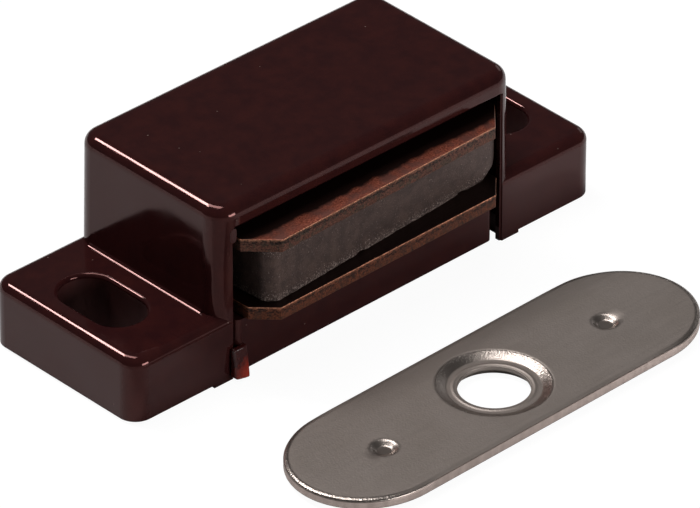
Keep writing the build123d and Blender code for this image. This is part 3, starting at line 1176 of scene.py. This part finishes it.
    @staticmethod
    def _spoke(tree: GeometryTree, turn: Socket) -> tuple[Socket, Socket, Socket]:
        """Give each spoke its direction, and find the outline along it.

        Args:
            tree: the strike's tree.
            turn: the way round the sheet, from -0.5 to 0.5.

        Returns:
            The spoke's unit vector, the distance from the hole's centre to the outline, and the
            cosine of the angle between the spoke and the outline's normal.
        """
        entry = tree.entry
        angle = tree.add(MATH, (turn, math.tau), operation="MULTIPLY")
        sides = []
        for wave, span in (("COSINE", "Length"), ("SINE", "Width")):
            swing = tree.add(MATH, (angle,), operation=wave)
            sides.append(tree.add(MATH, (swing, entry[span]), operation="MULTIPLY"))
        spoke = tree.add(VECTOR, (tree.add(JOIN, (*sides, 0.0)),), operation="NORMALIZE")
        sweep = tree.add(VECTOR, (spoke,), operation="ABSOLUTE")
        slope = tree.outputs(SPLIT, (sweep,))
        half_width = tree.add(MATH, (entry["Width"], 0.5), operation="MULTIPLY")
        half_length = tree.add(MATH, (entry["Length"], 0.5), operation="MULTIPLY")
        straight = tree.add(MATH, (half_length, entry["End"]), operation="SUBTRACT")
        to_side = tree.add(MATH, (half_width, slope["Y"]), operation="DIVIDE")
        # an end is half an ellipse: its equation along the spoke is a quadratic
        axes = tree.add(JOIN, (entry["End"], half_width, 1.0))
        unit = tree.add(VECTOR, (sweep, axes), operation="DIVIDE")
        square = tree.add(VECTOR, (unit, unit), operation="DOT_PRODUCT")
        start = tree.add(MATH, (straight, entry["End"]), operation="DIVIDE")
        middle = tree.add(MATH, (start, tree.outputs(SPLIT, (unit,))["X"]), operation="MULTIPLY")
        from_start = tree.add(MATH, (start, start), operation="MULTIPLY")
        rest = tree.add(MATH, (from_start, 1.0), operation="SUBTRACT")
        product = tree.add(MATH, (square, rest), operation="MULTIPLY")
        from_middle = tree.add(MATH, (middle, middle), operation="MULTIPLY")
        under_root = tree.add(MATH, (from_middle, product), operation="SUBTRACT")
        root = tree.add(MATH, (under_root,), operation="SQRT")
        to_end = tree.add(MATH, (tree.add(MATH, (middle, root), operation="ADD"), square),
                          operation="DIVIDE")
        # a spoke meets the straight side if it is steeper than the one to the side's end
        shallow = tree.add(MATH, (half_width, slope["X"]), operation="MULTIPLY")
        steep = tree.add(MATH, (straight, slope["Y"]), operation="MULTIPLY")
        at_side = tree.add(MATH, (shallow, steep), operation="LESS_THAN")
        outline = tree.add(MIX, {0: at_side, 2: to_end, 3: to_side})
        meets = tree.outputs(SPLIT, (tree.add(VECTOR, {0: sweep, "Scale": outline},
                                              operation="SCALE"),))
        beyond = tree.add(MATH, (meets["X"], straight), operation="SUBTRACT")
        past = tree.add(MATH, (beyond, 0.0), operation="MAXIMUM")
        slant = tree.add(JOIN, (past, meets["Y"], 0.0))
        for _ in range(2):
            slant = tree.add(VECTOR, (slant, axes), operation="DIVIDE")
        normal = tree.add(VECTOR, (slant,), operation="NORMALIZE")
        return spoke, outline, tree.add(VECTOR, (normal, sweep), operation="DOT_PRODUCT")

    def _radius(self, tree: GeometryTree, skin: Socket, outline: Socket, lean: Socket) -> Socket:
        """Space the rings: close on the dish, the pricks and the shoulder, wide between them.

        Args:
            tree: the strike's tree.
            skin: how far the ring is from hole to outline, from 0 to 1.
            outline: the distance to the outline.
            lean: the cosine between the spoke and the outline's normal.

        Returns:
            The ring's distance from the hole's centre.
        """
        entry = tree.entry
        shoulder = tree.add(MATH, (entry["Roll"], lean), operation="DIVIDE")
        dish = tree.add(RANGE, (skin, 0.0, self.ring_shares[0][0], entry["Hole"], entry["Rim"]))
        share: Value = 0.0
        for start, end, part in self.ring_shares:
            gone = tree.add(RANGE, (skin, start, end, 0.0, part))
            share = tree.add(MATH, (share, gone), operation="ADD")
        taken = tree.add(MATH, (entry["Rim"], shoulder), operation="ADD")
        inner = tree.add(MATH, (outline, taken), operation="SUBTRACT")
        last = tree.add(RANGE, (skin, self.ring_shares[-1][1], 1.0, 0.0, shoulder))
        reached = tree.add(MATH, (share, inner, dish), operation="MULTIPLY_ADD")
        return tree.add(MATH, (reached, last), operation="ADD")

    @staticmethod
    def _to_prick(tree: GeometryTree, far: Socket, flat: Any) -> Socket:
        """Measure how far a point is from the nearer prick's axis.

        Args:
            tree: the strike's tree.
            far: how far the point is to the left or right of the hole.
            flat: its X and Y on the plan.

        Returns:
            The distance.
        """
        # the left one was struck a little nearer to the front
        left = tree.add(MATH, (flat["X"], 0.0), operation="LESS_THAN")
        across = tree.add(MATH, (tree.entry["Prick Spacing"], -0.5, far), operation="MULTIPLY_ADD")
        forward = tree.add(MATH, (left, tree.entry["Prick Skew"], flat["Y"]),
                           operation="MULTIPLY_ADD")
        return tree.add(VECTOR, (tree.add(JOIN, (across, forward, 0.0)),), operation="LENGTH")

    def _strain(self, tree: GeometryTree, radius: Socket, to_prick: Socket,
                shoulder: tuple[Socket, Socket]) -> Socket:
        """Say how far the sheet was stretched: up the dish, round the pricks and over the shoulder.

        Args:
            tree: the strike's tree.
            radius: the point's distance from the hole's centre.
            to_prick: its distance from the nearer prick's axis.
            shoulder: how far it lies inside the outline, and how much the sheet is rolled there.

        Returns:
            The strain, from 0 to 1.
        """
        inside, at_end = shoulder
        in_dish, pricked, rolled = (
            tree.add(RANGE, (distance, start * MM, end * MM, most, 0.0))
            for distance, (start, end, most) in ((radius, self.dish_strain),
                                                 (to_prick, self.prick_strain),
                                                 (inside, self.roll_strain)))
        slope, lip = (tree.add(RANGE, (radius, start * MM, end * MM, 0.0, most))
                      for start, end, most in (self.slope_strain, self.lip_strain))
        up_slope = tree.add(MATH, (slope, lip), operation="ADD")
        sloped = tree.add(MATH, (in_dish, up_slope), operation="MULTIPLY")
        pressed = tree.add(MATH, (sloped, pricked), operation="MAXIMUM")
        over = tree.add(MATH, (rolled, at_end), operation="MULTIPLY")
        return tree.add(MATH, (pressed, over), operation="MAXIMUM")

    def _height(self, tree: GeometryTree, radius: Socket, to_prick: Socket,
                shoulder: tuple[Socket, Socket], side: Socket) -> Socket:
        """Press the dish and the two pricks into the skins, and roll the upper one over.

        Args:
            tree: the strike's tree.
            radius: the point's distance from the hole's centre.
            to_prick: its distance from the nearer prick's axis.
            shoulder: how far it lies inside the outline, and how much the sheet is rolled there.
            side: the skin it is on, from 0 for the lower to 1 for the upper.

        Returns:
            The point's height.
        """
        entry = tree.entry
        lift, hole = entry["Lift"], entry["Hole"]
        top = tree.add(MATH, (lift, entry["Sheet"]), operation="ADD")
        dish_floor = tree.add(MATH, (top, entry["Dish Depth"]), operation="SUBTRACT")
        prick_floor = tree.add(MATH, (top, entry["Prick Depth"]), operation="SUBTRACT")
        dish_rise = self.dish_depth_mm / (self.dish_mm - self.dish_floor_mm)
        under_dish = tree.add(MATH, (entry["Dish Floor"], self.under_dish_mm * MM), operation="ADD")
        # the dish and the prick of each skin, as _cone takes them
        cones = (
            ((radius, dish_floor, entry["Dish Floor"], dish_rise, top, self.dish_blend_mm),
             (to_prick, prick_floor, self.prick_floor_mm * MM, self.prick_rise, top,
              self.prick_blend_mm)),
            ((radius, 0.0, under_dish, self.under_dish_rise, lift, self.under_dish_blend_mm),
             (to_prick, 0.0, self.under_prick_mm * MM, self.under_prick_rise, lift,
              self.prick_blend_mm)),
        )
        upper, lower = (
            tree.add(MATH, tuple(self._cone(tree, *cone) for cone in skin), operation="MINIMUM")
            for skin in cones)
        # a bead stands round the hole, and coining lifts the underside there
        from_hole = tree.add(MATH, (radius, hole), operation="SUBTRACT")
        off_bead = tree.add(MATH, (from_hole, self.bead_middle_mm * MM), operation="SUBTRACT")
        off_middle = tree.add(MATH, (off_bead,), operation="ABSOLUTE")
        bead = tree.add(RANGE, (off_middle, 0.0, self.bead_half_mm * MM, entry["Bead"], 0.0),
                        interpolation_type="SMOOTHSTEP")
        coined = tree.add(MATH, (dish_floor, entry["Coined"]), operation="SUBTRACT")
        coin_end = tree.add(MATH, (hole, self.coin_width_mm * MM), operation="ADD")
        lifted = tree.add(RANGE, (radius, hole, coin_end, coined, 0.0))
        under = tree.add(MATH, (lower, lifted), operation="MAXIMUM")
        # the shoulder is a quarter of an ellipse
        inside, at_end = shoulder
        out = tree.add(RANGE, (inside, 0.0, entry["Roll"], 1.0, 0.0))
        fall = tree.add(MATH, (1.0, tree.add(MATH, (out, out), operation="MULTIPLY")),
                        operation="SUBTRACT")
        drop = tree.add(MATH, (1.0, tree.add(MATH, (fall,), operation="SQRT")),
                        operation="SUBTRACT")
        deep = tree.add(MATH, (drop, entry["Roll Depth"]), operation="MULTIPLY")
        rolled = tree.add(MATH, (deep, at_end), operation="MULTIPLY")
        beaded = tree.add(MATH, (upper, bead), operation="ADD")
        over = tree.add(MATH, (rolled, -1.0, beaded), operation="MULTIPLY_ADD")
        return tree.add(MIX, {0: side, 2: under, 3: over})

    @staticmethod
    def _cone(tree: GeometryTree, distance: Socket, floor: Value, floor_radius: Value, rise: float,
              lip: Socket, blend_mm: float) -> Socket:
        """Press one cone with a flat floor and a soft lip.

        Args:
            tree: the strike's tree.
            distance: how far a point is from the cone's axis.
            floor: the floor's height.
            floor_radius: the floor's radius.
            rise: how steep the cone is.
            lip: the height of the sheet round it.
            blend_mm: how much height the rounding of the lip takes.

        Returns:
            The skin's height.
        """
        past = tree.add(MATH, (distance, floor_radius), operation="SUBTRACT")
        cone = tree.add(MATH, (past, rise, floor), operation="MULTIPLY_ADD")
        floored = tree.add(MATH, (cone, floor, 0.5 * blend_mm * MM), operation="SMOOTH_MAX")
        return tree.add(MATH, (floored, lip, blend_mm * MM), operation="SMOOTH_MIN")


# ------------------------------------------------------------------ studio
@dataclass(frozen=True)
class SoftBox:
    """A rectangular lamp that faces the catch, with its sizes in metres and its power in watts."""

    name: str
    direction: tuple[float, float, float]
    distance: float
    width: float
    height: float
    power: float

    def build(self, target: Vector) -> None:
        """Hang the lamp.

        Args:
            target: the point it faces.
        """
        data = bpy.data.lights.new(self.name, "AREA")
        data.shape = "RECTANGLE"
        data.size, data.size_y = self.width, self.height
        data.energy = self.power
        lamp = holder_for(data, self.name)
        away = Vector(self.direction).normalized()
        lamp.location = target + away * self.distance
        lamp.rotation_mode = "QUATERNION"
        lamp.rotation_quaternion = (-away).to_track_quat("-Z", "Y")


@dataclass(frozen=True)
class Studio:
    """Pale floor, soft lamps, dim room and the camera."""

    floor_size: float = 3.0
    felt: float = 0.36
    mirrored_felt: float = 0.84
    # painted shade: the floor's tone in reflections, graded across the front of the catch
    reflected_shade_grade: tuple[float, float] = (0.5, 1.0)
    shade_grade_span_mm: tuple[float, float] = (-6.0, 30.0)
    shade_grade_fade_mm: tuple[float, float] = (-8.5, -12.0)
    white_share: float = 0.9
    white_strength: float = 1.06
    room_level: float = 0.07
    lamp_target: tuple[float, float, float] = (0.0, -0.005, 0.006)
    lamps: tuple[SoftBox, ...] = (
        SoftBox("key_strip", (-0.2, 0.61, 0.765), 1.0, 0.28, 0.09, 3.0),
        SoftBox("top_box", (-0.07, 0.3, 0.95), 1.0, 0.3, 0.74, 5.6),
        SoftBox("front_fill", (0.18, -0.95, 0.15), 1.4, 0.7, 0.3, 8.8),
        SoftBox("right_card", (0.9, 0.3, 0.33), 1.2, 0.5, 0.3, 0.3),
    )
    lens: float = 478.74
    sensor: float = 36.0
    clip: tuple[float, float] = (0.01, 20.0)
    camera_place: tuple[float, float, float] = (-0.38844, -0.42080, 0.37534)
    camera_right: tuple[float, float, float] = (0.73097, -0.68241, 0.00192)
    camera_up: tuple[float, float, float] = (0.37212, 0.40096, 0.83711)

    def build(self) -> None:
        """Build the whole studio."""
        self._floor()
        self._room()
        for lamp in self.lamps:
            lamp.build(Vector(self.lamp_target))
        self._camera()

    def _floor(self) -> None:
        """Lay the floor: pale felt to the lamps, near white to the eye, with the shadow kept."""
        half = self.floor_size / 2
        mesh = bpy.data.meshes.new("floor")
        mesh.from_pydata([(-half, -half, 0), (half, -half, 0), (half, half, 0), (-half, half, 0)],
                         [], [(0, 1, 2, 3)])
        surface = Surface("floor_paper")
        rays = surface.outputs("ShaderNodeLightPath")
        felt = surface.add(DIFFUSE, {"Color": (self.felt, self.felt, self.felt, 1.0)})
        paper = surface.add(DIFFUSE, {"Color": (1.0, 1.0, 1.0, 1.0)})
        glow = surface.add("ShaderNodeEmission", {"Strength": self.white_strength})
        white = surface.add(MIX_SHADER, (self.white_share, paper, glow))
        # in a gloss the floor is paler than to the lamps, and keeps the shadow that hides under it;
        # in front of the catch it also carries painted shade, darker to the left and lighter to the
        # right
        spot = surface.outputs(SPLIT, (surface.place,))
        start, end = (edge * MM for edge in self.shade_grade_span_mm)
        painted_shade_grade = surface.add(RANGE, (spot["X"], start, end, *self.reflected_shade_grade))
        near, far = (edge * MM for edge in self.shade_grade_fade_mm)
        before = surface.add(RANGE, (spot["Y"], near, far, 0.0, 1.0))
        tone = surface.add(MIX, {0: before, 2: self.mirrored_felt, 3: painted_shade_grade})
        gloss = surface.add(DIFFUSE, {"Color": tone})
        lit = surface.add(MIX_SHADER, (rays["Is Glossy Ray"], felt, gloss))
        shown = surface.add(MATH, (rays["Is Camera Ray"], rays["Is Transmission Ray"]),
                            operation="ADD")
        mesh.materials.append(surface.end(surface.add(MIX_SHADER, (shown, lit, white))))
        floor = holder_for(mesh, "floor")

    def _room(self) -> None:
        """Set the dim grey room round the studio."""
        world = bpy.data.worlds.new("room")
        world.use_nodes = True
        backdrop = world.node_tree.nodes["Background"]
        backdrop.inputs["Color"].default_value = (1.0, 1.0, 1.0, 1.0)
        backdrop.inputs["Strength"].default_value = self.room_level
        bpy.context.scene.world = world

    def _camera(self) -> None:
        """Place the camera in front, to the left and above, with a long lens."""
        data = bpy.data.cameras.new("camera")
        data.sensor_width = self.sensor
        data.lens = self.lens
        data.clip_start, data.clip_end = self.clip
        camera = holder_for(data, "camera")
        right, up = Vector(self.camera_right), Vector(self.camera_up)
        turn = Matrix((right, up, right.cross(up))).transposed().to_4x4()
        camera.matrix_world = Matrix.Translation(self.camera_place) @ turn
        bpy.context.scene.camera = camera


def main() -> None:
    """Load the frame, dress it and set the studio round it."""
    logging.basicConfig(level=logging.INFO, format="%(name)s: %(message)s")
    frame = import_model()
    nodes = frame["nodes"]
    for assembly in (Moulding(nodes), PolePlates(nodes), FerriteMagnet(), StrikePlate()):
        for piece in assembly.build():
            faces = sum(len(p.vertices) - 2 for p in piece.data.polygons)
            LOG.info("%s: %s, %d triangles", type(assembly).__name__, piece.name, faces)
    Studio().build()
    bpy.context.scene.view_settings.view_transform = "Standard"


if __name__ == "__main__":
    main()
